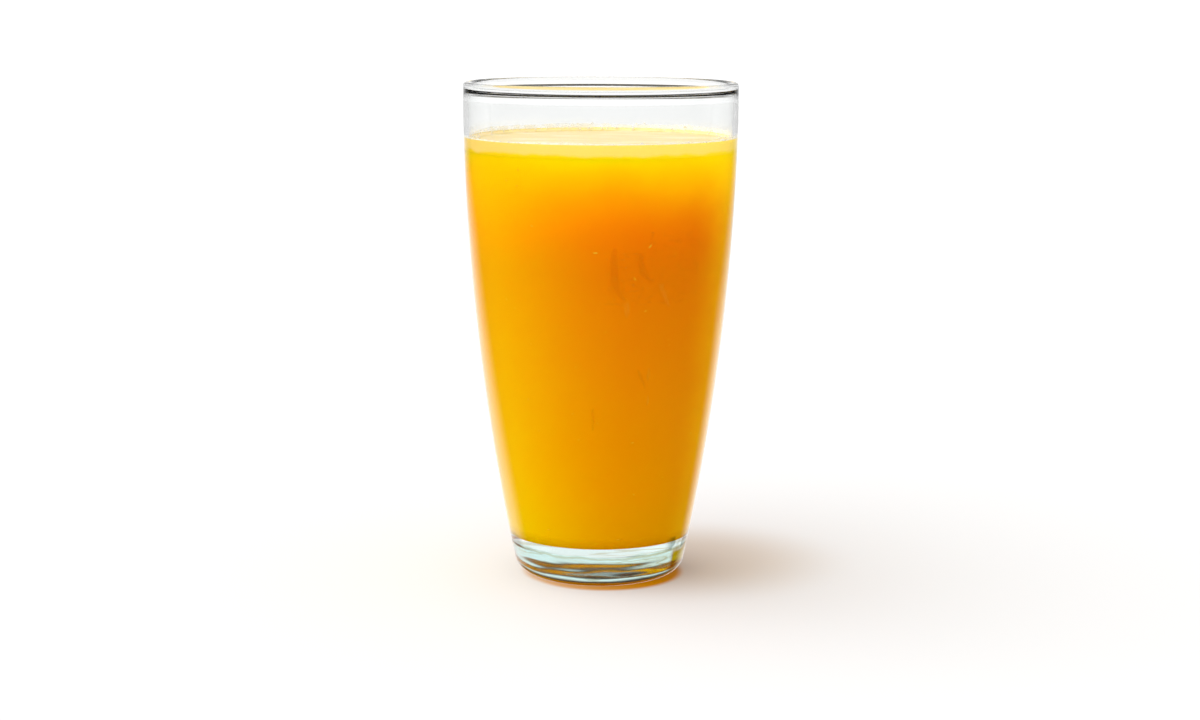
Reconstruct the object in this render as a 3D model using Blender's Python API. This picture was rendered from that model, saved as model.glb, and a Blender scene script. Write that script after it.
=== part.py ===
# A tall tumbler of clear glass with a heavy base, filled with orange juice that carries a layer of froth.
# Metres, +Z up. The origin is the centre of the foot, on the surface that the glass stands on.
# Every piece is a profile turned about the glass's upright axis.

import math

import bmesh
import bpy

# The tumbler's outside
GLASS_HEIGHT = 0.150
MOUTH_RADIUS = 0.0411
BARREL_START = 0.1465      # height above which the outside is straight
BARREL_TAPER = 0.0162      # how much narrower the barrel curve is by the time it reaches the foot
BARREL_POWER = 1.92
HEEL_RADIUS = 0.0062       # round edge between the side and the foot

# The rounded rim, an oval bead a little thicker than the wall
BEAD_WIDTH = 0.0025
BEAD_HEIGHT = 0.0031
BEAD_PROUD = 0.0002        # how far it stands out past the outside

# The tumbler's inside
WALL_AT_MOUTH = 0.00125
WALL_AT_FOOT = 0.0027
FLOOR_HEIGHT = 0.0121      # thickness of the heavy base
FLOOR_CORNER = 0.0038

# The underside: a flat ring to stand on, round a shallow dome
FOOT_RING_WIDTH = 0.0022
DOME_DEPTH = 0.0011

# The drink
JUICE_TOP = 0.1297         # where the juice meets the froth
FROTH_TOP = 0.1323
FROTH_CONTACT = 0.1334     # where the froth climbs to against the glass
FROTH_CREEP = 0.0026       # width of that climb
PIECE_GAP = 0.0003         # clearance between neighbouring pieces

# Facets
TURN_STEPS = 64
WALL_STEPS = 15
CORNER_STEPS = 5
BEAD_STEPS = 6             # on each side of the bead's top
DOME_STEPS = 4
CREEP_STEPS = 4

GLASS_COLOUR = (0.90, 0.95, 0.94)
JUICE_COLOUR = (0.95, 0.42, 0.005)
FROTH_COLOUR = (1.00, 0.68, 0.13)


def clear_scene():
    for item in list(bpy.data.objects):
        bpy.data.objects.remove(item, do_unlink=True)


def outer_radius(z):
    """Radius of the barrel-curved outside at height z."""
    fall = max(BARREL_START - z, 0.0) / BARREL_START
    return MOUTH_RADIUS - BARREL_TAPER * fall ** BARREL_POWER


def inner_radius(z):
    """Radius of the inside at height z: the wall thickens evenly towards the foot."""
    share = 1.0 - z / GLASS_HEIGHT
    return outer_radius(z) - WALL_AT_MOUTH - (WALL_AT_FOOT - WALL_AT_MOUTH) * share


def outer_slope(z):
    """Angle by which the outside leans out from upright at height z."""
    step = 0.0001
    return math.atan((outer_radius(z + step) - outer_radius(z - step)) / (2.0 * step))


def arc(centre, radii, start, end, steps):
    """Points (r, z) of an elliptical arc in the profile plane, both ends included."""
    points = []
    for index in range(steps + 1):
        angle = start + (end - start) * index / steps
        points.append((centre[0] + radii[0] * math.cos(angle), centre[1] + radii[1] * math.sin(angle)))
    return points


def curve_between(radius_at, z_start, z_end, steps):
    """Points (r, z) along a side whose radius is a function of height, both ends included."""
    points = []
    for index in range(steps + 1):
        z = z_start + (z_end - z_start) * index / steps
        points.append((radius_at(z), z))
    return points


def rim_bead():
    """The bead, from where it leaves the inside of the wall round to where it meets the outside."""
    radii = (BEAD_WIDTH / 2.0, BEAD_HEIGHT / 2.0)
    centre = (MOUTH_RADIUS + BEAD_PROUD - radii[0], GLASS_HEIGHT - radii[1])
    inside = inner_radius(centre[1]) - centre[0]
    outside = outer_radius(centre[1]) - centre[0]
    start = math.pi + math.acos(-inside / radii[0])
    end = -math.acos(outside / radii[0])
    inner_half = arc(centre, radii, start, math.pi / 2.0, BEAD_STEPS)
    outer_half = arc(centre, radii, math.pi / 2.0, end, BEAD_STEPS)
    return inner_half + outer_half[1:]


def heel():
    """The round edge from the barrel curve down to the flat foot ring."""
    top = HEEL_RADIUS
    for _ in range(20):
        lean = outer_slope(top)
        top = HEEL_RADIUS * (1.0 - math.sin(lean))
    centre_radius = outer_radius(top) - HEEL_RADIUS * math.cos(lean)
    return arc((centre_radius, HEEL_RADIUS), (HEEL_RADIUS, HEEL_RADIUS), -lean, -math.pi / 2.0, CORNER_STEPS)


def floor_corner(inset):
    """The round inner corner from the floor up to the wall, moved in by inset on both."""
    radius = FLOOR_CORNER - inset
    centre_height = FLOOR_HEIGHT + FLOOR_CORNER
    lean = outer_slope(centre_height)
    centre_radius = inner_radius(centre_height) - FLOOR_CORNER
    return arc((centre_radius, centre_height), (radius, radius), -math.pi / 2.0, -lean, CORNER_STEPS)


def underside(ring_outer):
    """The foot ring's inner edge, then the dome up to the axis."""
    ring_inner = ring_outer - FOOT_RING_WIDTH
    points = []
    for index in range(DOME_STEPS + 1):
        share = 1.0 - index / DOME_STEPS
        points.append((ring_inner * share, DOME_DEPTH * (1.0 - share ** 2)))
    return points


def turned_object(name, profile, colour, roughness, transmission):
    """A solid of revolution. The profile runs from the axis on top, over the outside, to the axis below."""
    mesh = bpy.data.meshes.new(name)
    outline = bmesh.new()
    corners = [outline.verts.new((radius, 0.0, z)) for radius, z in profile]
    for first, second in zip(corners, corners[1:]):
        outline.edges.new((first, second))
    outline.to_mesh(mesh)
    outline.free()
    piece = bpy.data.objects.new(name, mesh)
    bpy.context.scene.collection.objects.link(piece)
    turn = piece.modifiers.new("turn", "SCREW")
    turn.axis = "Z"
    turn.angle = 2.0 * math.pi
    turn.steps = TURN_STEPS
    turn.render_steps = TURN_STEPS
    turn.use_merge_vertices = True
    turn.merge_threshold = 0.00001
    turn.use_smooth_shade = True
    mesh.materials.append(piece_material(name, colour, roughness, transmission))
    return piece


def piece_material(name, colour, roughness, transmission):
    """A Principled material in the piece's own colour."""
    material = bpy.data.materials.new(name)
    material.use_nodes = True
    shader = material.node_tree.nodes["Principled BSDF"]
    shader.inputs["Base Color"].default_value = (*colour, 1.0)
    shader.inputs["Roughness"].default_value = roughness
    shader.inputs["Metallic"].default_value = 0.0
    shader.inputs["Transmission Weight"].default_value = transmission
    return material


def make_tumbler():
    """The glass: floor, inner wall, bead, outer wall, heel and domed underside in one solid."""
    corner = floor_corner(0.0)
    bead = rim_bead()
    edge = heel()
    inner_wall = curve_between(inner_radius, corner[-1][1], bead[0][1], WALL_STEPS)
    outer_wall = curve_between(outer_radius, bead[-1][1], edge[0][1], WALL_STEPS)
    profile = [(0.0, FLOOR_HEIGHT)] + corner + inner_wall[1:-1] + bead
    profile += outer_wall[1:-1] + edge + underside(edge[-1][0])
    return turned_object("tumbler", profile, GLASS_COLOUR, 0.03, 1.0)


def make_juice():
    """The juice: solid from the floor of the glass up to the froth."""
    corner = floor_corner(PIECE_GAP)
    wall = curve_between(lambda z: inner_radius(z) - PIECE_GAP, JUICE_TOP, corner[-1][1], WALL_STEPS)
    profile = [(0.0, JUICE_TOP)] + wall[:-1] + corner[::-1] + [(0.0, FLOOR_HEIGHT + PIECE_GAP)]
    return turned_object("juice", profile, JUICE_COLOUR, 0.25, 0.0)


def make_froth():
    """The froth: a level layer right across the juice that climbs a little where it meets the glass."""
    contact_radius = inner_radius(FROTH_CONTACT) - PIECE_GAP
    profile = [(0.0, FROTH_TOP)]
    for index in range(CREEP_STEPS + 1):
        share = index / CREEP_STEPS
        radius = contact_radius - FROTH_CREEP * (1.0 - share)
        profile.append((radius, FROTH_TOP + (FROTH_CONTACT - FROTH_TOP) * share ** 2))
    froth_bottom = JUICE_TOP + PIECE_GAP
    profile += [(inner_radius(froth_bottom) - PIECE_GAP, froth_bottom), (0.0, froth_bottom)]
    return turned_object("froth", profile, FROTH_COLOUR, 0.4, 0.0)


clear_scene()
make_tumbler()
make_juice()
make_froth()
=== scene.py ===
import math
import random

import bpy
from mathutils import Matrix, Vector


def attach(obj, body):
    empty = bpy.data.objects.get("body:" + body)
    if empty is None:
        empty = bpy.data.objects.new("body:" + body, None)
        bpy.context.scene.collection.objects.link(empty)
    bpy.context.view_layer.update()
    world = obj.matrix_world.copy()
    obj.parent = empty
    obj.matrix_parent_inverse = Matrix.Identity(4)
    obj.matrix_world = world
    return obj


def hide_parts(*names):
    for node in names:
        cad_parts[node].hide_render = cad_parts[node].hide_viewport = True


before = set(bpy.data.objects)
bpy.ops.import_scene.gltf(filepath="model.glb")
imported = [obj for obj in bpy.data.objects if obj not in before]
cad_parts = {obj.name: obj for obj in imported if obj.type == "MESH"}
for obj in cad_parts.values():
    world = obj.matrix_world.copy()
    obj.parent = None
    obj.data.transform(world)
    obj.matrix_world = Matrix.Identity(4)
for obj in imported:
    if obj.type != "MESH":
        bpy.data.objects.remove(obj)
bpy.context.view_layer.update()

scene = bpy.context.scene
seamWidth = 0.000002         # what lies closer than this is joined, so seams and poles are closed
neverNought = 0.000001       # keeps the distance from the axis above nought, as places are divided by it


# What every piece is made with

def dropSelection():
    if bpy.context.object and bpy.context.object.mode == "EDIT":
        bpy.ops.object.mode_set(mode="OBJECT")
    bpy.ops.object.select_all(action="DESELECT")


def pickOnly(piece):
    dropSelection()
    piece.select_set(True)
    bpy.context.view_layer.objects.active = piece


def drawOutline(name, points):
    # a chain of vertices in the XZ plane, each pulled out of the one before
    dropSelection()
    bpy.ops.mesh.primitive_plane_add(size=0.001, location=(points[0][0], 0, points[0][1]))
    piece = bpy.context.object
    piece.name = name
    bpy.ops.object.mode_set(mode="EDIT")
    bpy.ops.mesh.merge(type="CENTER")
    for before, after in zip(points, points[1:]):
        pull = (after[0] - before[0], 0, after[1] - before[1])
        bpy.ops.mesh.extrude_vertices_move(TRANSFORM_OT_translate={"value": pull})
    return piece


def turnOutline(turns):
    # spins the outline being edited into a closed body about the upright axis
    bpy.ops.mesh.select_all(action="SELECT")
    bpy.ops.mesh.spin(steps=turns, angle=2 * math.pi, center=(0, 0, 0), axis=(0, 0, 1))
    bpy.ops.mesh.select_all(action="SELECT")
    bpy.ops.mesh.remove_doubles(threshold=seamWidth)
    bpy.ops.mesh.normals_make_consistent(inside=False)
    bpy.ops.object.mode_set(mode="OBJECT")


def settle(piece, smoothUnder=60):
    # puts the piece's place into its mesh and shades it smooth
    pickOnly(piece)
    bpy.ops.object.transform_apply(location=True, rotation=True, scale=True)
    bpy.ops.object.shade_smooth_by_angle(angle=math.radians(smoothUnder))
    return piece


def arcPoints(centre, radii, start, end, steps):
    points = []
    for index in range(steps + 1):
        angle = start + (end - start) * index / steps
        points.append((centre[0] + radii[0] * math.cos(angle), centre[1] + radii[1] * math.sin(angle)))
    return points


def sidePoints(radiusAt, start, end, steps):
    return [(radiusAt(start + (end - start) * i / steps), start + (end - start) * i / steps)
            for i in range(steps + 1)]


def scatter(pattern, name, spots):
    # copies of the pattern, each at its place, turn and size, are joined into one piece
    # and the pattern is taken away
    dropSelection()
    copies = []
    for place, turn, size in spots:
        copied = pattern.copy()
        copied.data = pattern.data.copy()
        copied.matrix_world = Matrix.LocRotScale(Vector(place), turn, Vector(size))
        scene.collection.objects.link(copied)
        copied.select_set(True)
        copies.append(copied)
    bpy.data.objects.remove(pattern, do_unlink=True)
    bpy.context.view_layer.objects.active = copies[0]
    bpy.ops.object.join()
    copies[0].name = name
    return settle(copies[0])


def selectWhere(piece, test):
    # in edit mode: selects the vertices whose place passes the test
    bpy.ops.mesh.select_all(action="DESELECT")
    bpy.ops.object.mode_set(mode="OBJECT")
    for corner in piece.data.vertices:
        corner.select = test(corner.co)
    bpy.ops.object.mode_set(mode="EDIT")


# Materials: a wire is a socket that takes part in Python sums, a recipe is one material's nodes

class Wire:
    def __init__(self, recipe, socket):
        self.recipe = recipe
        self.socket = socket

    def sum(self, operation, *parts):
        return self.recipe.node("ShaderNodeMath", {"operation": operation}, dict(enumerate(parts)))

    def __add__(self, other):
        return self.sum("ADD", self, other)

    __radd__ = __add__

    def __sub__(self, other):
        return self.sum("SUBTRACT", self, other)

    def __rsub__(self, other):
        return self.sum("SUBTRACT", other, self)

    def __mul__(self, other):
        return self.sum("MULTIPLY", self, other)

    __rmul__ = __mul__

    def __truediv__(self, other):
        return self.sum("DIVIDE", self, other)

    def __pow__(self, other):
        return self.sum("POWER", self, other)

    def lowest(self, other):
        return self.sum("MINIMUM", self, other)

    def highest(self, other):
        return self.sum("MAXIMUM", self, other)

    def size(self):
        return self.sum("ABSOLUTE", self)

    def ramp(self, low, high, kind="LINEAR"):
        # 0 to 1 at an even rate as the value goes from low to high
        return self.recipe.node("ShaderNodeMapRange", {"interpolation_type": kind},
                                {"Value": self, "From Min": low, "From Max": high})

    def step(self, low, high):
        # smooth 0 to 1 as the value goes from low to high
        return self.ramp(low, high, "SMOOTHSTEP")


class Sheet:
    def __init__(self, tree):
        self.tree = tree

    def node(self, kind, settings=None, values=None, outlet=0):
        made = self.tree.nodes.new(kind)
        for name, value in (settings or {}).items():
            setattr(made, name, value)
        for name, value in (values or {}).items():
            self.feed(made.inputs[name], value)
        return Wire(self, made.outputs[outlet])

    def feed(self, socket, value):
        if isinstance(value, Wire):
            self.tree.links.new(value.socket, socket)
        elif isinstance(value, (tuple, list)) and socket.type == "RGBA":
            socket.default_value = (*value[:3], 1)
        else:
            socket.default_value = value

    def outlets(self, wire, *names):
        # more of the outputs of the node that wire comes from
        return [Wire(self, wire.socket.node.outputs[name]) for name in names]


class Recipe(Sheet):
    def __init__(self, name):
        self.material = bpy.data.materials.new(name)
        self.material.use_nodes = True
        super().__init__(self.material.node_tree)
        self.shader = self.tree.nodes["Principled BSDF"]
        self.output = self.tree.nodes["Material Output"]

    def set(self, values):
        for name, value in values.items():
            self.feed(self.shader.inputs[name], value)

    def place(self, scale=(1, 1, 1), shift=(0, 0, 0)):
        spot = self.node("ShaderNodeTexCoord", outlet=3)
        return self.node("ShaderNodeMapping", {}, {"Vector": spot, "Scale": scale, "Location": shift})

    def axes(self):
        # the place along each axis, and its distance from the upright one
        parts = self.node("ShaderNodeSeparateXYZ", {}, {"Vector": self.place()})
        x, y, z = self.outlets(parts, "X", "Y", "Z")
        return x, y, z, (x * x + y * y + neverNought) ** 0.5

    def noise(self, fineness, detail=3, rough=0.5, **where):
        return self.node("ShaderNodeTexNoise", {}, {"Vector": self.place(**where), "Scale": fineness,
                                                    "Detail": detail, "Roughness": rough})

    def blend(self, factor, first, second, how="MIX"):
        return self.node("ShaderNodeMix", {"data_type": "RGBA", "blend_type": how, "clamp_factor": True},
                         {0: factor, 6: first, 7: second}, outlet=2)

    def bump(self, height, strength, distance):
        values = {"Height": height, "Strength": strength, "Distance": distance}
        self.feed(self.shader.inputs["Normal"], self.node("ShaderNodeBump", {}, values))

    def lampsPass(self):
        # lamps and soft bounced light go straight through, so that they reach what the glass holds
        shadow, diffuse = self.outlets(self.node("ShaderNodeLightPath"), "Is Shadow Ray", "Is Diffuse Ray")
        clear = self.node("ShaderNodeBsdfTransparent")
        surface = Wire(self, self.shader.outputs[0])
        mixed = self.node("ShaderNodeMixShader", {}, {0: shadow.highest(diffuse), 1: surface, 2: clear})
        self.feed(self.output.inputs["Surface"], mixed)


def dress(piece, recipe, slot, *replaced):
    piece.data.materials.clear()
    piece.data.materials.append(recipe.material)
    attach(piece, "root")
    if replaced:
        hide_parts(*replaced)


# How the light falls on the drink, by place across it: -1 is the far left and 1 the far right

daylight = {
    "sunny": (0.3, -0.8),      # where the lamp's light begins to tell, and where it is full
    "sunnyCurve": 1.6,
    "shine": (0.1, 0.95),      # the same for light that comes through from behind
}


def sunnyShare(across):
    return across.ramp(*daylight["sunny"]) ** daylight["sunnyCurve"]


def shineShare(across):
    return across.ramp(*daylight["shine"])


print("stage 1: tumbler")

tumblerSizes = {
    "height": 0.150,
    "mouthRadius": 0.0411,
    "barrelStart": 0.1465,      # straight above this
    "barrelTaper": 0.0162,
    "barrelPower": 1.92,
    "heelAcross": 0.0074,       # the round heel's reach inwards and upwards
    "heelUp": 0.0057,
    "beadRadius": 0.0397,       # middle of the rounded rim
    "beadTop": 0.1497,
    "beadWidth": 0.0028,
    "beadHeight": 0.0025,
    "beadSquareness": 2.4,      # 2 is a plain oval
    "beadSwell": 0.0016,        # height over which the wall swells into it
    "beadLead": 0.0003,         # straight wall kept right below the swell
    "beadEase": 0.035,          # share of the swell that the first point takes
    "beadEaseDrop": 0.00008,    # and how far below the swell it lies
    "wallAtMouth": 0.00125,
    "wallAtFoot": 0.0027,
    "floorHeight": 0.0127,
    "floorSag": 0.0006,         # how much lower the floor is in its middle
    "floorCorner": 0.0045,
    "footRingWidth": 0.0035,
    "domeDepth": 0.0030,
    "domePower": 3.9,
    "turns": 160,               # facets round the axis
    "floorSteps": 12,           # points along each stretch of the outline
    "cornerSteps": 14,
    "wallSteps": 50,
    "beadSteps": 16,
    "heelSteps": 16,
    "domeSteps": 24,
}


def outsideAt(z):
    fall = max(tumblerSizes["barrelStart"] - z, 0) / tumblerSizes["barrelStart"]
    return tumblerSizes["mouthRadius"] - tumblerSizes["barrelTaper"] * fall ** tumblerSizes["barrelPower"]


def insideAt(z):
    growth = tumblerSizes["wallAtFoot"] - tumblerSizes["wallAtMouth"]
    return outsideAt(z) - tumblerSizes["wallAtMouth"] - growth * (1 - z / tumblerSizes["height"])


def leanAt(z, step=0.0001):
    return math.atan((outsideAt(z + step) - outsideAt(z - step)) / (2 * step))


def swellPoints(wallAt, way):
    # up the wall and out over the bead's under side: way is 1 on the outside and -1 on the inside
    middle = tumblerSizes["beadTop"] - tumblerSizes["beadHeight"] / 2
    swell, square = tumblerSizes["beadSwell"], tumblerSizes["beadSquareness"]
    bulge = tumblerSizes["beadRadius"] + way * tumblerSizes["beadWidth"] / 2 - wallAt(middle)
    start = middle - swell
    lead = start - tumblerSizes["beadLead"]
    eased = wallAt(start) + bulge * tumblerSizes["beadEase"]
    points = [(wallAt(lead), lead), (eased, start - tumblerSizes["beadEaseDrop"])]
    for index in range(1, tumblerSizes["beadSteps"]):
        fall = math.cos(math.pi / 2 * index / tumblerSizes["beadSteps"])
        z = middle - swell * fall
        points.append((wallAt(z) + bulge * (1 - fall ** square) ** (1 / square), z))
    return points


def beadPoints():
    # up the inner side, over the top and down the outer side
    half, square = tumblerSizes["beadHeight"] / 2, tumblerSizes["beadSquareness"]
    steps = 2 * tumblerSizes["beadSteps"]
    top = []
    for index in range(steps + 1):
        angle = math.pi * (1 - index / steps)
        across = math.copysign(abs(math.cos(angle)) ** (2 / square), math.cos(angle))
        top.append((tumblerSizes["beadRadius"] + tumblerSizes["beadWidth"] / 2 * across,
                    tumblerSizes["beadTop"] - half + half * math.sin(angle) ** (2 / square)))
    return swellPoints(insideAt, -1) + top + swellPoints(outsideAt, 1)[::-1]


def heelPoints():
    across, up = tumblerSizes["heelAcross"], tumblerSizes["heelUp"]
    # the turn at which the oval heel leans as the side does, closed in on
    turn = 0
    for _ in range(20):
        lean = leanAt(up * (1 - math.sin(turn)))
        turn = math.atan(math.tan(lean) * up / across)
    centre = (outsideAt(up * (1 - math.sin(turn))) - across * math.cos(turn), up)
    return arcPoints(centre, (across, up), -turn, -math.pi / 2, tumblerSizes["heelSteps"])


def cornerPoints(grow):
    # the round inner corner, moved out into the glass by grow
    height = tumblerSizes["floorHeight"] + tumblerSizes["floorCorner"]
    radius = tumblerSizes["floorCorner"] + grow
    centre = (insideAt(height) - tumblerSizes["floorCorner"], height)
    return arcPoints(centre, (radius, radius), -math.pi / 2, -leanAt(height), tumblerSizes["cornerSteps"])


def floorPoints(reach, grow):
    # from the middle of the floor out to the corner, lowered into the glass by grow
    points = []
    for index in range(tumblerSizes["floorSteps"]):
        share = index / tumblerSizes["floorSteps"]
        sag = tumblerSizes["floorSag"] * (1 - share ** 2)
        points.append((reach * share, tumblerSizes["floorHeight"] - grow - sag))
    return points


def domePoints(reach):
    # from the foot ring's inner edge up to the middle of the underside
    points = []
    for index in range(tumblerSizes["domeSteps"] + 1):
        share = 1 - index / tumblerSizes["domeSteps"]
        points.append((reach * share, tumblerSizes["domeDepth"] * (1 - share ** tumblerSizes["domePower"])))
    return points


def makeTumbler():
    corner = cornerPoints(0)
    bead = beadPoints()
    heel = heelPoints()
    inner = sidePoints(insideAt, corner[-1][1], bead[0][1], tumblerSizes["wallSteps"])
    outer = sidePoints(outsideAt, bead[-1][1], heel[0][1], tumblerSizes["wallSteps"])
    outline = floorPoints(corner[0][0], 0) + corner + inner[1:-1] + bead + outer[1:-1] + heel
    outline += domePoints(heel[-1][0] - tumblerSizes["footRingWidth"])
    piece = drawOutline("clearTumbler", outline)
    turnOutline(tumblerSizes["turns"])
    return settle(piece)


baseLooks = {
    "clear": (0.985, 0.995, 0.99),
    "clearPale": (0.995, 1.0, 0.998),
    "smearFineness": 90,
    "waveFineness": 60,
    "waveHeight": 0.005,                 # how far the painted edges wander up and down
    "heel": (0.64, 0.87, 0.84),          # teal of the thick glass, seen through the round heel
    "heelTop": 0.0112,
    "heelFade": 0.0007,
    "blur": 0.13,
    "streak": (0.34, 0.29, 0.06),        # painted refraction of the juice: olive lines across the teal, and one along its upper edge
    "streakShare": 0.6,
    "streakFineness": 38,
    "streakMiddle": 0.55,
    "streakWidth": (0.03, 0.008),
    "topLineDrop": 0.001,
    "topLineWidth": (0.0006, 0.0001),
    "gold": (0.30, 0.13, 0.0),           # painted refraction: patch low on the right, where the glass bends the juice's colour into view
    "goldFrom": (52, 57),                # degrees from the front over which it comes in
    "goldTo": (85, 80),                  # and over which it goes
    "goldTop": (0.0110, 0.0092),         # heights of its edges, the upper one wandering more
    "goldTopWander": 1.6,
    "goldFoot": (0.0026, 0.0052),
    "shadeLeft": (0.20, 0.20, 0.19),     # dark of the room, gathered at both sides
    "shadeLeftFrom": (-55, -64),
    "shadeLeftShare": 0.8,
    "shadeRight": (0.10, 0.15, 0.14),
    "shadeRightFrom": (45, 53),
    "shadeRightShare": 0.85,
    "shadeFoot": (0.0098, 0.0106),
    "shadeTop": (0.0146, 0.0132),
    "speckFineness": 230,                # breaks the dark at the right into specks
    "speckEdge": (0.44, 0.52),
    "footLine": (0.42, 0.11, 0.0),       # orange light caught where the foot meets the table
    "footLineShare": 0.85,
    "footLineTop": (0.0021, 0.00147),
    "footLineFrom": (0.0175, 0.0185),    # radius from which it lies
    "rippleFineness": 48,
    "rippleFade": 0.0014,
    "rippleDepth": 0.0010,
    "ripple": 0.35,
}


def sineOf(degrees):
    return math.sin(math.radians(degrees))


def glassRecipe():
    glass = Recipe("clearGlass")
    x, y, z, radius = glass.axes()
    side = x / radius
    front = (y * -1 / radius).step(0.0, 0.1)
    wave = (glass.noise(baseLooks["waveFineness"], scale=(1, 1, 2)) - 0.5) * baseLooks["waveHeight"]
    height = z + wave
    top = baseLooks["heelTop"]
    smear = glass.noise(baseLooks["smearFineness"], detail=4)
    clear = glass.blend(smear, baseLooks["clear"], baseLooks["clearPale"])
    # painted refraction: olive lines of the juice across the heel's teal
    lines = glass.noise(baseLooks["streakFineness"], scale=(1, 1, 9), shift=(0, 0, 0.3))
    streaks = (lines - baseLooks["streakMiddle"]).size().step(*baseLooks["streakWidth"])
    topLine = (height - top + baseLooks["topLineDrop"]).size().step(*baseLooks["topLineWidth"])
    streaks = streaks.highest(topLine) * baseLooks["streakShare"]
    heel = height.step(top, top - baseLooks["heelFade"])
    colour = glass.blend(heel, clear, glass.blend(streaks, baseLooks["heel"], baseLooks["streak"]))
    # painted refraction of the juice's colour, low on the right at the front
    gold = side.step(*map(sineOf, baseLooks["goldFrom"])) * side.step(*map(sineOf, baseLooks["goldTo"]))
    gold = gold * (z + wave * baseLooks["goldTopWander"]).step(*baseLooks["goldTop"])
    gold = gold * height.step(*baseLooks["goldFoot"]) * front
    colour = glass.blend(gold, colour, baseLooks["gold"])
    band = height.step(*baseLooks["shadeFoot"]) * height.step(*baseLooks["shadeTop"]) * front
    specks = glass.noise(baseLooks["speckFineness"], detail=1, scale=(1, 1, 0.6))
    leftShade = side.step(*map(sineOf, baseLooks["shadeLeftFrom"])) * band
    rightShade = side.step(*map(sineOf, baseLooks["shadeRightFrom"])) * band
    rightShade = rightShade * specks.step(*baseLooks["speckEdge"])
    colour = glass.blend(leftShade * baseLooks["shadeLeftShare"], colour, baseLooks["shadeLeft"])
    colour = glass.blend(rightShade * baseLooks["shadeRightShare"], colour, baseLooks["shadeRight"])
    foot = z.step(*baseLooks["footLineTop"]) * radius.step(*baseLooks["footLineFrom"])
    colour = glass.blend(foot * baseLooks["footLineShare"], colour, baseLooks["footLine"])
    glass.set({"Base Color": colour, "Roughness": heel * baseLooks["blur"], "IOR": 1.5,
               "Transmission Weight": 1.0})
    ripple = glass.noise(baseLooks["rippleFineness"], detail=1, scale=(1, 1, 6))
    ripple = ripple * z.step(top, top - baseLooks["rippleFade"])
    glass.bump(ripple, baseLooks["ripple"], baseLooks["rippleDepth"])
    glass.lampsPass()
    return glass


clearGlass = glassRecipe()
clearTumbler = makeTumbler()
dress(clearTumbler, clearGlass, "glass", "tumbler")


print("stage 2: juice")

juiceLooks = {
    "reachIntoWall": 0.00012,
    "top": 0.1297,
    "wallSteps": 60,
    "highShaded": (0.73, 0.170, 0.0),      # painted shade: 100 mm up, away from the light
    "highSunny": (0.72, 0.315, 0.0),     # painted light: 100 mm up, towards the light
    "lowShaded": (0.775, 0.300, 0.0),      # painted shade: near the glass's floor, away from the light
    "lowSunny": (0.745, 0.425, 0.0),
    "lowToHigh": (0.025, 0.105),         # heights between which low turns into high
    "farSide": (0.98, 0.49, 0.0),        # painted light: the side edge furthest from the lamp, lit from behind
    "farFrom": (0.68, 0.97),
    "farCurve": 2,
    "floorDarkening": (0.95, 1.04, 1.0), # painted shade close above the glass's floor: a little less red, a little more green
    "floorReach": (0.032, 0.014),
    "lightening": (1.34, 1.25, 1.0),     # painted light: how much lighter the topmost part is than the rest
    "lighteningFrom": (0.094, 0.125),
    "glow": (1.0, 0.70, 0.0),            # painted glow of light scattered down from the top, close under the froth
    "glowSunny": (0.78, 0.50, 0.0),
    "glowFrom": 0.104,
    "glowRise": 2.4,                     # the higher, the closer the glow keeps to the froth
    "shineThrough": (1.0, 0.52, 0.0),    # emitted glow that stands in for light from behind, high on the side away from the lamp
    "shineFrom": (0.111, 0.128),
    "shineAmount": 0.22,
    "cloudFineness": 45,                 # noise clouds, and how far they shift the painted light and shade across and up
    "cloudAcross": 0.16,
    "cloudUp": 0.006,
}


def makeJuice():
    reach = juiceLooks["reachIntoWall"]
    corner = cornerPoints(reach)
    wall = sidePoints(lambda z: insideAt(z) + reach, juiceLooks["top"], corner[-1][1],
                      juiceLooks["wallSteps"])
    outline = [(0, juiceLooks["top"])] + wall[:-1] + corner[::-1] + floorPoints(corner[0][0], reach)[::-1]
    piece = drawOutline("orangeJuice", outline)
    turnOutline(tumblerSizes["turns"])
    return settle(piece)


def juiceRecipe():
    juice = Recipe("orangeJuice")
    x, _, z, radius = juice.axes()
    cloud = juice.noise(juiceLooks["cloudFineness"]) - 0.5
    across = x / radius + cloud * juiceLooks["cloudAcross"]
    height = z + cloud * juiceLooks["cloudUp"]
    sunny = sunnyShare(across)
    # painted light and shade: the drink's colour lit towards the lamp and shaded away from it, changing with
    # height
    high = height.ramp(*juiceLooks["lowToHigh"])
    shaded = juice.blend(high, juiceLooks["lowShaded"], juiceLooks["highShaded"])
    light = juice.blend(high, juiceLooks["lowSunny"], juiceLooks["highSunny"])
    farEdge = across.ramp(*juiceLooks["farFrom"]) ** juiceLooks["farCurve"]
    body = juice.blend(farEdge, juice.blend(sunny, shaded, light), juiceLooks["farSide"])
    nearFloor = height.step(*juiceLooks["floorReach"])
    body = juice.blend(nearFloor, body, juiceLooks["floorDarkening"], "MULTIPLY")
    upper = height.step(*juiceLooks["lighteningFrom"])
    body = juice.blend(upper, body, juiceLooks["lightening"], "MULTIPLY")
    glow = juice.blend(sunny, juiceLooks["glow"], juiceLooks["glowSunny"])
    glowing = height.ramp(juiceLooks["glowFrom"], juiceLooks["top"]) ** juiceLooks["glowRise"]
    shining = height.step(*juiceLooks["shineFrom"]) * shineShare(across)
    juice.set({"Base Color": juice.blend(glowing, body, glow), "Roughness": 0.35,
               "Emission Color": juice.blend(shining, (0, 0, 0), juiceLooks["shineThrough"]),
               "Emission Strength": juiceLooks["shineAmount"],
               "Specular IOR Level": 0.0, "Subsurface Weight": 0.3,
               "Subsurface Radius": (1.0, 0.4, 0.05), "Subsurface Scale": 0.006})
    return juice


orangeJuice = makeJuice()
dress(orangeJuice, juiceRecipe(), "juice", "juice")


print("stage 3: froth")

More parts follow.
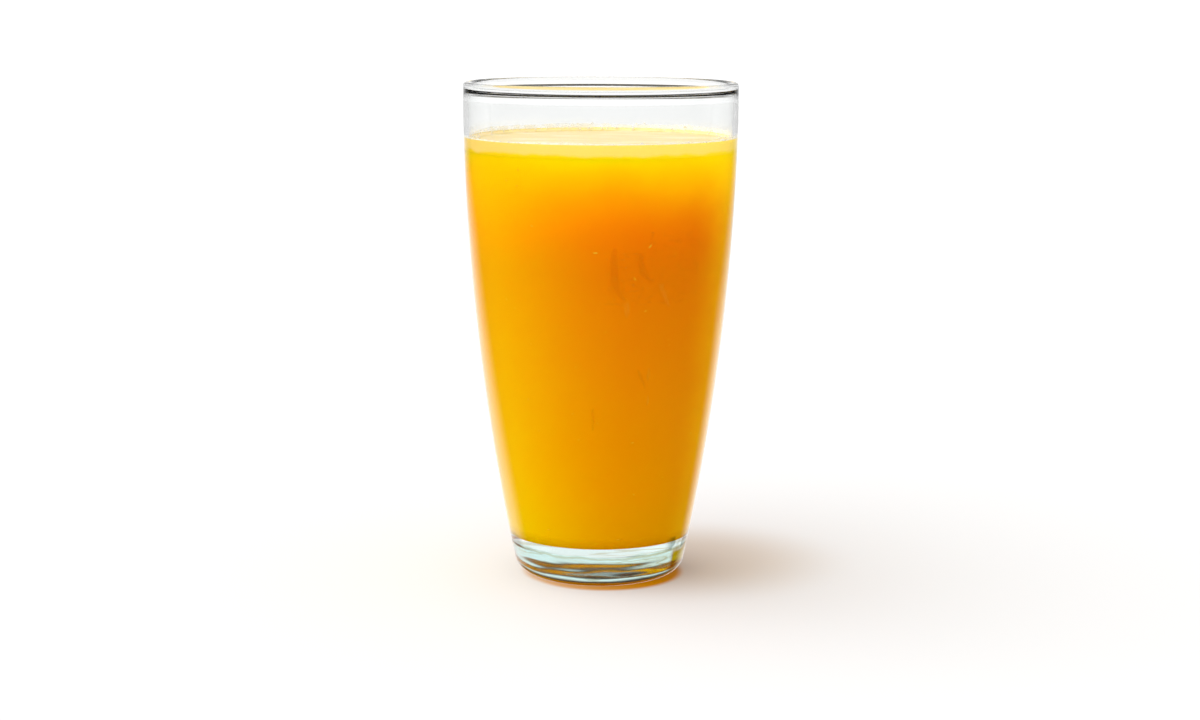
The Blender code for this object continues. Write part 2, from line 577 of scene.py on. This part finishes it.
frothLooks = {
    "reachIntoWall": 0.00014,
    "bottom": 0.1294,
    "level": 0.1323,
    "contact": 0.1334,
    "creep": 0.0026,                     # width over which it climbs to the contact
    "levelSteps": 24,
    "creepSteps": 8,
    "pale": (1.0, 0.74, 0.14),           # seen through the side, away from the light
    "paleSunny": (0.80, 0.545, 0.12),
    "low": (1.0, 0.70, 0.0),             # the juice's glow goes on into its lower edge
    "lowSunny": (0.78, 0.50, 0.0),
    "lowerEdge": 0.1303,
    "edgeBlur": 0.0006,
    "lobeFineness": 130,                 # how the lower edge wanders
    "lobeHeight": 0.0022,
    "grainFineness": 900,
    "grainHeight": 0.0004,
    "top": (0.66, 0.49, 0.16),           # seen from above, where far more light falls
    "topPale": (0.72, 0.60, 0.31),
    "swirlFineness": 55,
    "swirlEdge": (0.42, 0.66),
    "contactLine": (0.86, 0.68, 0.30),
    "contactFrom": (0.0380, 0.0388),     # radius over which the contact line comes in
    "wallFrom": (0.0392, 0.0395),        # and over which the side begins
    "shineThrough": (1.0, 0.62, 0.06),   # emitted glow, as in the juice below
    "shineAmount": 0.2,
    "wetness": 0.1,
    "sheen": 0.45,                       # foam looks paler the flatter it is seen
    "dimpleFineness": 200,
    "dimples": 0.1,
    "dimpleDepth": 0.0003,
}


def makeFroth():
    rim = insideAt(frothLooks["contact"]) + frothLooks["reachIntoWall"]
    flat = rim - frothLooks["creep"]
    rise = frothLooks["contact"] - frothLooks["level"]
    count, steps = frothLooks["levelSteps"], frothLooks["creepSteps"]
    top = [(flat * i / count, frothLooks["level"]) for i in range(count)]
    climb = [(flat + frothLooks["creep"] * i / steps, frothLooks["level"] + rise * (i / steps) ** 2)
             for i in range(steps + 1)]
    wall = sidePoints(lambda z: insideAt(z) + frothLooks["reachIntoWall"], frothLooks["contact"],
                      frothLooks["bottom"], steps)
    outline = top + climb + wall[1:] + [(0, frothLooks["bottom"])]
    piece = drawOutline("frothLayer", outline)
    turnOutline(tumblerSizes["turns"])
    return settle(piece)


def frothRecipe():
    froth = Recipe("froth")
    x, _, z, radius = froth.axes()
    across = x / radius
    sunny = sunnyShare(across)
    lobes = froth.noise(frothLooks["lobeFineness"], detail=2, scale=(1, 1, 0.3)) - 0.5
    grain = froth.noise(frothLooks["grainFineness"], detail=2) - 0.5
    wander = lobes * frothLooks["lobeHeight"] + grain * frothLooks["grainHeight"]
    lift = (z + wander - frothLooks["lowerEdge"]).step(-frothLooks["edgeBlur"], frothLooks["edgeBlur"])
    low = froth.blend(sunny, frothLooks["low"], frothLooks["lowSunny"])
    side = froth.blend(lift, low, froth.blend(sunny, frothLooks["pale"], frothLooks["paleSunny"]))
    swirl = froth.noise(frothLooks["swirlFineness"], detail=5, rough=0.6, scale=(1, 2.6, 1))
    top = froth.blend(swirl.step(*frothLooks["swirlEdge"]), frothLooks["top"], frothLooks["topPale"])
    top = froth.blend(radius.step(*frothLooks["contactFrom"]), top, frothLooks["contactLine"])
    atWall = radius.step(*frothLooks["wallFrom"])
    shining = atWall * shineShare(across)
    froth.set({"Base Color": froth.blend(atWall, top, side), "Roughness": 0.4, "Specular IOR Level": 0.0,
               "Emission Color": froth.blend(shining, (0, 0, 0), frothLooks["shineThrough"]),
               "Emission Strength": frothLooks["shineAmount"],
               "Coat Weight": (1 - atWall) * frothLooks["wetness"], "Coat Roughness": 0.25,
               "Sheen Weight": frothLooks["sheen"], "Sheen Tint": (1.0, 0.96, 0.90), "Sheen Roughness": 0.4,
               "Subsurface Weight": 0.2, "Subsurface Radius": (1.0, 0.6, 0.1), "Subsurface Scale": 0.003})
    dimples = froth.noise(frothLooks["dimpleFineness"], detail=2) * (1 - atWall)
    froth.bump(dimples, frothLooks["dimples"], frothLooks["dimpleDepth"])
    return froth


frothLayer = makeFroth()
dress(frothLayer, frothRecipe(), "froth", "froth")


filmLooks = {
    "bottom": 0.1331,
    "thickness": 0.00010,
    "thinning": 0.8,           # share of the thickness that is gone at the top
    "reachIntoWall": 0.00005,
    "lowest": 0.0004,          # how far up it reaches where it is least
    "highest": 0.0021,
    # share of the way from least to most, and what changes it round the glass: size, waves and start
    "middle": 0.42,
    "waves": ((0.30, 1, 0.25), (0.126, 3, 0.6), (0.0924, 7, 2.1), (0.0588, 17, 0.3), (0.0336, 41, 1.0)),
    "steps": 6,
    "milk": (1.0, 0.93, 0.66),
    "milkPale": (1.0, 1.0, 0.96),
    "streakFineness": 420,
    "streakEdge": (0.30, 0.62),
    "streakAlpha": 0.55,
    "leastAlpha": 0.12,
    "fadeOver": 0.0022,
    "fadeShare": 0.6,          # how much of it is gone at the top of the fade
}


def filmRise(turn):
    # uneven height of the film round the glass, most at the back and towards the right
    share = filmLooks["middle"]
    for size, count, start in filmLooks["waves"]:
        share += size * math.sin(count * turn + start)
    return filmLooks["lowest"] + (filmLooks["highest"] - filmLooks["lowest"]) * min(max(share, 0), 1)


def makeFilm():
    # turned at its full height, thinning upwards, then each part let down to its own height
    bottom, full, steps = filmLooks["bottom"], filmLooks["highest"], filmLooks["steps"]
    inner = []
    outer = []
    for index in range(steps + 1):
        z = bottom + full * index / steps
        inner.append((insideAt(z) - filmLooks["thickness"] * (1 - filmLooks["thinning"] * index / steps), z))
        outer.append((insideAt(z) + filmLooks["reachIntoWall"], z))
    piece = drawOutline("wallFilm", inner + outer[::-1] + [inner[0]])
    turnOutline(tumblerSizes["turns"] * 2)
    settle(piece)
    for corner in piece.data.vertices:
        turn = math.atan2(corner.co.y, corner.co.x)
        corner.co.z = bottom + (corner.co.z - bottom) * filmRise(turn) / full
    return piece


def filmRecipe():
    film = Recipe("frothFilm")
    height = film.axes()[2] - filmLooks["bottom"]
    streaks = film.noise(filmLooks["streakFineness"], detail=4, scale=(1, 1, 0.5))
    cover = streaks.step(*filmLooks["streakEdge"]) * filmLooks["streakAlpha"] + filmLooks["leastAlpha"]
    fade = height.step(filmLooks["fadeOver"], 0.0) * filmLooks["fadeShare"] + (1 - filmLooks["fadeShare"])
    film.set({"Base Color": film.blend(streaks, filmLooks["milk"], filmLooks["milkPale"]), "Roughness": 0.2,
              "Alpha": cover * fade})
    return film


wallFilm = makeFilm()
dress(wallFilm, filmRecipe(), "froth")


bubbleLooks = {
    "radius": 0.0389,          # where most of them lie, against the glass
    "level": 0.1333,
    "smallest": 0.00015,
    "largest": 0.00055,
    "strewn": 130,             # all the way round, smaller, lower and further in
    "strewnSize": 0.8,
    "strewnRise": (-0.0003, 0.0002),
    "strewnInward": 0.004,
    # degrees from the front, positive to the right, spread in degrees, and how many
    "clusters": ((19, 4, 16), (41, 5, 26), (52, 2.5, 12), (65, 6, 22), (-42, 14, 22), (-8, 12, 14)),
    "clusterRise": (-0.0004, 0.0003),
    "clusterInward": 0.0012,
    # single ones on the wall at the back: degrees from the front, size, and height above the level
    "backOnes": ((163, 0.00045, 0.0014), (159, 0.0003, 0.0016), (137, 0.00055, 0.0010),
                 (133, 0.0003, 0.0009), (118, 0.0004, 0.0006), (184, 0.0003, 0.0015),
                 (191, 0.00035, 0.0013)),
    "skin": (0.80, 0.74, 0.62),
    "skinPale": (1.0, 1.0, 0.94),
    "toneFineness": 500,
    "rimBlend": 0.35,
    "rimAlpha": 0.5,           # added where the skin is seen edge on
    "leastAlpha": 0.42,
}


def bubblePattern():
    # a dome with a narrower flat foot
    dropSelection()
    bpy.ops.mesh.primitive_uv_sphere_add(segments=10, ring_count=7, radius=1, location=(0, 0, 0))
    pattern = bpy.context.object
    bpy.ops.object.mode_set(mode="EDIT")
    selectWhere(pattern, lambda spot: spot.z < -0.3)
    bpy.ops.transform.resize(value=(0.8, 0.8, 0.35))
    bpy.ops.object.mode_set(mode="OBJECT")
    return pattern


def makeBubbles():
    draw = random.Random(11)
    spots = []

    def add(degrees, size, rise, inward):
        angle = math.radians(degrees - 90)
        radius = bubbleLooks["radius"] - inward
        place = (radius * math.cos(angle), radius * math.sin(angle), bubbleLooks["level"] + rise)
        turn = Matrix.Rotation(draw.uniform(0, 6), 3, "Z").to_quaternion()
        spots.append((place, turn, (size, size * draw.uniform(0.8, 1.0), size * draw.uniform(0.7, 0.95))))

    def someSize():
        span = bubbleLooks["largest"] - bubbleLooks["smallest"]
        return bubbleLooks["smallest"] + span * draw.random() ** 2

    for _ in range(bubbleLooks["strewn"]):
        degrees = draw.uniform(-180, 180)
        size = someSize() * bubbleLooks["strewnSize"]
        rise = draw.uniform(*bubbleLooks["strewnRise"])
        add(degrees, size, rise, draw.random() ** 3 * bubbleLooks["strewnInward"])
    for middle, spread, count in bubbleLooks["clusters"]:
        for _ in range(count):
            degrees = draw.gauss(middle, spread / 2)
            size = someSize()
            rise = draw.uniform(*bubbleLooks["clusterRise"])
            add(degrees, size, rise, draw.random() ** 2 * bubbleLooks["clusterInward"])
    for degrees, size, rise in bubbleLooks["backOnes"]:
        add(degrees, size, rise, 0)
    return scatter(bubblePattern(), "frothBubbles", spots)


def bubbleRecipe():
    skin = Recipe("bubbleSkin")
    rim = skin.node("ShaderNodeLayerWeight", {}, {"Blend": bubbleLooks["rimBlend"]}, outlet=1)
    tone = skin.noise(bubbleLooks["toneFineness"])
    skin.set({"Base Color": skin.blend(tone, bubbleLooks["skin"], bubbleLooks["skinPale"]), "Roughness": 0.08,
              "Alpha": rim * bubbleLooks["rimAlpha"] + bubbleLooks["leastAlpha"]})
    return skin


frothBubbles = makeBubbles()
dress(frothBubbles, bubbleRecipe(), "froth")


print("stage 4: pulp and droplets")

pulpLooks = {
    # degrees from the front, height, length, tilt
    "spots": ((-13.7, 0.0550, 0.0009, 20), (-1.1, 0.0522, 0.0008, -30), (-11.0, 0.0472, 0.0010, 60),
              (17.6, 0.0461, 0.0012, 10), (-11.5, 0.0692, 0.0008, 80), (21.9, 0.1045, 0.0016, 50),
              (15.1, 0.0951, 0.0014, -55), (20.8, 0.0856, 0.0011, 35), (-2.0, 0.1027, 0.0016, 4),
              (6.7, 0.0952, 0.0006, 0), (2.5, 0.0797, 0.0006, 45), (-33.8, 0.0182, 0.0011, 15),
              (13.1, 0.0163, 0.0022, 28), (20.2, 0.0300, 0.0012, -40)),
    "more": 90,                # strewn round the rest, in this range of degrees, height and length
    "moreDegrees": (30, 330),
    "moreHeights": (0.017, 0.126),
    "moreLengths": (0.0004, 0.0012),
    "depth": 0.00024,
    "widthShare": 0.25,        # width is this share of the length, plus leastWidth
    "leastWidth": 0.00008,
    "sunk": 0.00004,
    "pale": (0.76, 0.34, 0.0),
    "palest": (0.84, 0.45, 0.03),
    "toneFineness": 300,
}


def fleckPattern():
    # a fibre: a ball drawn out, pinched at one end
    dropSelection()
    bpy.ops.mesh.primitive_uv_sphere_add(segments=8, ring_count=8, radius=0.5, rotation=(0, math.pi / 2, 0))
    pattern = bpy.context.object
    bpy.ops.object.transform_apply(rotation=True)
    bpy.ops.object.mode_set(mode="EDIT")
    selectWhere(pattern, lambda spot: spot.x > 0.2)
    bpy.ops.transform.resize(value=(1.15, 0.45, 0.55))
    selectWhere(pattern, lambda spot: spot.x < -0.3)
    bpy.ops.transform.translate(value=(0, 0, 0.15))
    bpy.ops.object.mode_set(mode="OBJECT")
    return pattern


def onWall(degrees, height, radius, tilt):
    # place, and turn that lays x along the wall's girth and y outwards, tilted in the wall's own plane
    angle = math.radians(degrees - 90)
    place = (radius * math.cos(angle), radius * math.sin(angle), height)
    turn = Matrix.Rotation(angle + math.pi / 2, 3, "Z") @ Matrix.Rotation(math.radians(-tilt), 3, "Y")
    return place, turn.to_quaternion()


def makeFlecks():
    draw = random.Random(5)
    rows = list(pulpLooks["spots"])
    for _ in range(pulpLooks["more"]):
        rows.append((draw.uniform(*pulpLooks["moreDegrees"]), draw.uniform(*pulpLooks["moreHeights"]),
                     draw.uniform(*pulpLooks["moreLengths"]), draw.uniform(-90, 90)))
    spots = []
    for degrees, height, length, tilt in rows:
        radius = insideAt(height) + juiceLooks["reachIntoWall"] - pulpLooks["sunk"]
        place, turn = onWall(degrees, height, radius, tilt)
        width = length * pulpLooks["widthShare"] + pulpLooks["leastWidth"]
        spots.append((place, turn, (length, pulpLooks["depth"], width)))
    return scatter(fleckPattern(), "pulpFlecks", spots)


def pulpRecipe():
    pulp = Recipe("pulp")
    tone = pulp.noise(pulpLooks["toneFineness"])
    pulp.set({"Base Color": pulp.blend(tone, pulpLooks["pale"], pulpLooks["palest"]),
              "Roughness": 0.5, "Specular IOR Level": 0.0, "Subsurface Weight": 0.2,
              "Subsurface Radius": (1.0, 0.5, 0.1), "Subsurface Scale": 0.002})
    return pulp


pulpFlecks = makeFlecks()
dress(pulpFlecks, pulpRecipe(), "juice")


dewLooks = {
    "count": 620,
    "degrees": (2, 47),
    "heights": (0.0875, 0.1085),
    "wipedDegrees": (-5, 21),  # a mound wiped clear of drops
    "wipedHeights": (0.1030, 0.1150),
    "widest": 0.0011,
    "leastShare": 0.25,        # the smallest drop, as a share of the widest
    "depth": 0.00008,
    "tall": (0.00012, 0.00024),
    "lean": 12,                # degrees either way
    # painted shade: the drops tint the juice seen through them a darker orange
    "haze": (0.66, 0.16, 0.0),
    "hazePale": (0.74, 0.27, 0.01),
    "hazeAlpha": 0.14,
}

trackLooks = {
    # painted shade and light: the runs tint the juice seen through them a darker orange, their tails a paler
    # one
    "wet": (0.56, 0.10, 0.0),
    "wetPale": (0.60, 0.13, 0.0),
    "wetAlpha": 0.07,
    "tail": (0.78, 0.36, 0.02),
    "tailPale": (0.84, 0.44, 0.05),
    "tailAlpha": 0.05,
    "thickness": 0.0002,
    "firstEdge": 0.0004,       # height of the strip that each track is pulled out of
    "rounding": 3,             # how often the strip is subdivided
    "widening": 1.7,           # rounding takes this much of the width away again
    # degrees from the front, height, width
    "runs": (((5.9, 0.1040, 0.0008), (5.6, 0.0995, 0.0015), (5.6, 0.0950, 0.0016), (7.9, 0.0912, 0.0015),
              (11.0, 0.0888, 0.0007)),
             ((16.5, 0.1024, 0.0007), (17.6, 0.0985, 0.0014), (19.0, 0.0957, 0.0015),
              (24.2, 0.0941, 0.0006)),
             ((-3.4, 0.0567, 0.0004), (-3.3, 0.0530, 0.0006), (-3.5, 0.0500, 0.0003)),
             ((17.6, 0.0682, 0.0004), (18.5, 0.0672, 0.0008), (21.9, 0.0628, 0.0003))),
    "tails": (((11.6, 0.0885, 0.0008), (11.4, 0.0862, 0.0014), (11.8, 0.0838, 0.0005)),
              ((26.6, 0.0932, 0.0008), (28.6, 0.0905, 0.0013), (31.7, 0.0861, 0.0005)),
              ((22.9, 0.0684, 0.0004), (23.2, 0.0668, 0.0008), (22.6, 0.0650, 0.0004)),
              ((23.4, 0.0600, 0.0004), (23.4, 0.0588, 0.0007), (23.0, 0.0575, 0.0004))),
}


def dropPattern():
    # a drop, a little wider and lower at its foot
    dropSelection()
    bpy.ops.mesh.primitive_uv_sphere_add(segments=8, ring_count=5, radius=0.5)
    pattern = bpy.context.object
    bpy.ops.object.mode_set(mode="EDIT")
    selectWhere(pattern, lambda spot: spot.z < -0.2)
    bpy.ops.transform.resize(value=(1.1, 1.0, 0.9))
    bpy.ops.object.mode_set(mode="OBJECT")
    return pattern


def makeDew():
    draw = random.Random(3)
    spots = []
    left, right = dewLooks["wipedDegrees"]
    low, high = dewLooks["wipedHeights"]
    while len(spots) < dewLooks["count"]:
        degrees = draw.uniform(*dewLooks["degrees"])
        height = draw.uniform(*dewLooks["heights"])
        if left < degrees < right and low < height < high:
            continue
        share = dewLooks["leastShare"] + (1 - dewLooks["leastShare"]) * draw.random() ** 2
        lean = draw.uniform(-dewLooks["lean"], dewLooks["lean"])
        place, turn = onWall(degrees, height, outsideAt(height), lean)
        size = (dewLooks["widest"] * share, dewLooks["depth"], draw.uniform(*dewLooks["tall"]))
        spots.append((place, turn, size))
    return scatter(dropPattern(), "dewDrops", spots)


def makeTrack(path):
    # a flat strip pulled out point by point, thickened and rounded
    flat = [(outsideAt(height) * math.radians(degrees), height, width * trackLooks["widening"])
            for degrees, height, width in path]
    across, up, width = flat[0]
    dropSelection()
    bpy.ops.mesh.primitive_plane_add(size=1, location=(across, 0, up), rotation=(math.pi / 2, 0, 0))
    track = bpy.context.object
    bpy.ops.object.transform_apply(location=False, rotation=True)
    bpy.ops.object.mode_set(mode="EDIT")
    bpy.ops.mesh.select_all(action="SELECT")
    bpy.ops.transform.resize(value=(width, 1, trackLooks["firstEdge"]))
    selectWhere(track, lambda spot: spot.z < 0)
    for before, after in zip(flat, flat[1:]):
        pull = (after[0] - before[0], 0, after[1] - before[1])
        bpy.ops.mesh.extrude_region_move(TRANSFORM_OT_translate={"value": pull})
        bpy.ops.transform.resize(value=(after[2] / before[2], 1, 1))
    bpy.ops.object.mode_set(mode="OBJECT")
    thicken = track.modifiers.new("thicken", "SOLIDIFY")
    thicken.thickness = trackLooks["thickness"]
    thicken.offset = 0
    bpy.ops.object.modifier_apply(modifier=thicken.name)
    soften = track.modifiers.new("soften", "SUBSURF")
    soften.levels = trackLooks["rounding"]
    bpy.ops.object.modifier_apply(modifier=soften.name)
    bpy.ops.object.transform_apply(location=True, rotation=True, scale=True)
    return track


def makeTracks(name, paths):
    # all the tracks of a kind as one piece, laid on the outside of the glass
    tracks = [makeTrack(path) for path in paths]
    dropSelection()
    for track in tracks:
        track.select_set(True)
    piece = tracks[0]
    bpy.context.view_layer.objects.active = piece
    bpy.ops.object.join()
    piece.name = name
    for corner in piece.data.vertices:
        angle = corner.co.x / outsideAt(corner.co.z) - math.pi / 2
        radius = outsideAt(corner.co.z) - corner.co.y
        corner.co = (radius * math.cos(angle), radius * math.sin(angle), corner.co.z)
    bpy.ops.object.mode_set(mode="EDIT")
    bpy.ops.mesh.select_all(action="SELECT")
    bpy.ops.mesh.normals_make_consistent(inside=False)
    bpy.ops.object.mode_set(mode="OBJECT")
    return settle(piece)


waterLooks = {
    "toneFineness": 400,
    "toneShare": 0.6,
    "rimBlend": 0.5,
    "rimFade": 0.8,
}


def waterRecipe(name, looks, kind):
    # thins out towards where it is seen edge on, so that no outline shows
    water = Recipe(name)
    rim = water.node("ShaderNodeLayerWeight", {}, {"Blend": waterLooks["rimBlend"]}, outlet=1)
    tone = water.noise(waterLooks["toneFineness"], detail=2) * waterLooks["toneShare"]
    water.set({"Base Color": water.blend(tone, looks[kind], looks[kind + "Pale"]), "Roughness": 0.15,
               "Specular IOR Level": 0.0, "Alpha": (1 - rim * waterLooks["rimFade"]) * looks[kind + "Alpha"]})
    return water


dewDrops = makeDew()
dress(dewDrops, waterRecipe("dew", dewLooks, "haze"), "glass")
waterRuns = makeTracks("waterRuns", trackLooks["runs"])
dress(waterRuns, waterRecipe("wetTrack", trackLooks, "wet"), "glass")
waterTails = makeTracks("waterTails", trackLooks["tails"])
dress(waterTails, waterRecipe("waterTail", trackLooks, "tail"), "glass")


print("stage 5: floor, light and camera")

studio = {
    "floorSize": 6.0,
    "floorWhite": 0.66,
    "contactShade": (0.86, 0.78, 0.70),  # warm shade on the table, its middle, and the radii it fades over
    "shadeMiddle": (0.027, 0.014),
    "shadeReach": (0.056, 0.016),
    "contactGlow": (0.86, 0.38, 0.0),    # orange light round the foot, most to the front right
    "glowReach": (0.0246, 0.0214),
    "glowSpread": 0.0026,
    "glowLean": (0.75, 0.65),            # to the right and to the front
    "glowTurn": (-0.2, 1.0),             # how far round from there it goes from least to most
    "glowLeast": 0.65,
    "paperSide": 0.45,                   # how far the white table reaches for what the glass bends into view
    "paperFront": 0.20,
    "paperWiden": 2,                     # the further back, the wider
    "paperFade": 0.1,
    "backdrop": 1.15,                    # what the camera sees behind the floor
    "skyLight": 0.90,                    # soft light from all round
    "dark": 0.03,                        # unlit parts of the room, seen only in the glass
    "darkAbove": (0.17, 0.36),           # sine of the elevation where the backdrop ends
    # where the bright wall mirrored in the glass ends: cosine from straight back, how it changes with the
    # ray's rise, the same two for falling rays, and the most that the cosine may be
    "leftEdge": (1.16, 2.4, 0.97, 1.1, 0.93),
    "rightEdge": (1.092, 1.45, 0.79, 0.0, 0.95),
    "wallFade": 0.15,
    "throughEdge": (0.05, 0.35),         # cosine at which what the glass bends into view turns dim
    "sideLight": 0.45,                   # how bright it is then
    "tableFrom": (-0.36, -0.50),         # rise of the mirrored rays that meet the warm table
    "tableTint": (0.50, 0.20, 0.0),
    "keyStrength": 2.75,
    "keySoftness": 90,                   # degrees across
    "keyElevation": 52,
    "keyTurn": -8,                       # degrees from straight left, below 0 in front of it
}

view = {
    "distance": 0.6841,
    "height": 0.1771,
    "tilt": 9.262,             # degrees down
    "pixelsFocal": 2278.0,     # in a frame 1200 wide
    "frameWidth": 1200,
    "axisPixel": 601.3,        # where the glass's axis stands in that frame
    "roll": -0.21,             # degrees
    "sensorWidth": 36,
}


def paperRecipe():
    paper = Recipe("whitePaper")
    x, y, _, radius = paper.axes()
    white = studio["floorWhite"]
    colour = paper.blend(paper.noise(3), (white, white, white), (white * 0.99, white * 0.99, white * 0.985))
    middle, lean = studio["shadeMiddle"], studio["glowLean"]
    near = (((x - middle[0]) ** 2 + (y - middle[1]) ** 2) ** 0.5).step(*studio["shadeReach"])
    colour = paper.blend(near, colour, studio["contactShade"], "MULTIPLY")
    frontRight = ((x * lean[0] - y * lean[1]) / radius).ramp(*studio["glowTurn"])
    least = studio["glowLeast"]
    glow = (radius - frontRight * studio["glowSpread"]).step(*studio["glowReach"])
    colour = paper.blend(glow * (frontRight * (1 - least) + least), colour, studio["contactGlow"], "MULTIPLY")
    paper.set({"Base Color": colour, "Roughness": 0.9, "Specular IOR Level": 0.0})
    # what the glass bends into view past the paper's edges is the dim room
    beside = x.size() - studio["paperSide"] - y.highest(0) * studio["paperWiden"]
    off = beside.highest(y * -1 - studio["paperFront"]).step(0.0, studio["paperFade"])
    bent = paper.outlets(paper.node("ShaderNodeLightPath"), "Is Transmission Ray")[0]
    dim = paper.node("ShaderNodeEmission", {}, {"Color": (1, 1, 1), "Strength": studio["sideLight"]})
    lit = Wire(paper, paper.shader.outputs[0])
    mixed = paper.node("ShaderNodeMixShader", {}, {0: bent * off, 1: lit, 2: dim})
    paper.feed(paper.output.inputs["Surface"], mixed)
    return paper


def makeFloor():
    dropSelection()
    bpy.ops.mesh.primitive_plane_add(size=studio["floorSize"], location=(0, 0, 0))
    floor = bpy.context.object
    floor.name = "floor"
    floor.data.materials.append(paperRecipe().material)
    floor.visible_glossy = False       # the photo's glass mirrors none of the floor in front of it


def makeKeyLight():
    # a wide soft light from the left, far enough to light the whole floor alike
    elevation, turn = math.radians(studio["keyElevation"]), math.radians(studio["keyTurn"])
    bpy.ops.object.light_add(type="SUN", location=(-1, 0.2, 1),
                             rotation=(0, -(math.pi / 2 - elevation), -turn))
    key = bpy.context.object
    key.name = "keyLight"
    key.data.energy = studio["keyStrength"]
    key.data.angle = math.radians(studio["keySoftness"])
    key.visible_glossy = False
    key.visible_transmission = False


def makeWorld():
    world = bpy.data.worlds.new("studio")
    scene.world = world
    world.use_nodes = True
    sheet = Sheet(world.node_tree)
    facing = sheet.node("ShaderNodeTexCoord")
    x, y, z = sheet.outlets(sheet.node("ShaderNodeSeparateXYZ", {}, {"Vector": facing}), "X", "Y", "Z")
    paths = sheet.node("ShaderNodeLightPath")
    seen, glossy, through = sheet.outlets(paths, "Is Camera Ray", "Is Glossy Ray", "Is Transmission Ray")
    level = (x * x + y * y + 0.0001) ** 0.5
    back = y / level

    def edgeOf(side):
        # cosine from straight back at which the bright wall ends, wider the steeper the ray falls
        start, slope, floorStart, floorSlope, most = studio[side]
        return (z * slope + start).highest(z * floorSlope + floorStart).lowest(most)

    right = x.step(-0.05, 0.05)
    edge = edgeOf("leftEdge") * (1 - right) + edgeOf("rightEdge") * right
    wall = (back - edge).step(-studio["wallFade"], studio["wallFade"])
    under = 1 - z.step(*studio["darkAbove"])
    lit = studio["backdrop"] - studio["dark"]
    mirrored = wall * under * lit + studio["dark"]
    bright = back.step(*studio["throughEdge"]) * (1 - studio["sideLight"]) + studio["sideLight"]
    refracted = under * bright * lit + studio["dark"]
    other = 1 - (seen + glossy + through).lowest(1)
    # a ray bent by glass counts as glossy too
    strength = (seen * studio["backdrop"] + glossy * (1 - through) * mirrored + through * refracted
                + other * studio["skyLight"])
    background = world.node_tree.nodes["Background"]
    sheet.feed(background.inputs["Strength"], strength)
    # the heel's underside mirrors the warm table close below it
    downwards = z.step(*studio["tableFrom"]) * glossy * (1 - through)
    tint = sheet.node("ShaderNodeMix", {"data_type": "RGBA"},
                      {0: downwards, 6: (1, 1, 1), 7: studio["tableTint"]}, outlet=2)
    sheet.feed(background.inputs["Color"], tint)


def makeCamera():
    shift = (view["axisPixel"] - view["frameWidth"] / 2) / view["pixelsFocal"] * view["distance"]
    bpy.ops.object.camera_add(location=(-shift, -view["distance"], view["height"]),
                              rotation=(math.radians(90 - view["tilt"]), math.radians(view["roll"]), 0))
    camera = bpy.context.object
    camera.data.sensor_width = view["sensorWidth"]
    camera.data.lens = view["pixelsFocal"] / view["frameWidth"] * view["sensorWidth"]
    scene.camera = camera


makeFloor()
makeKeyLight()
makeWorld()
makeCamera()
scene.view_settings.view_transform = "Standard"
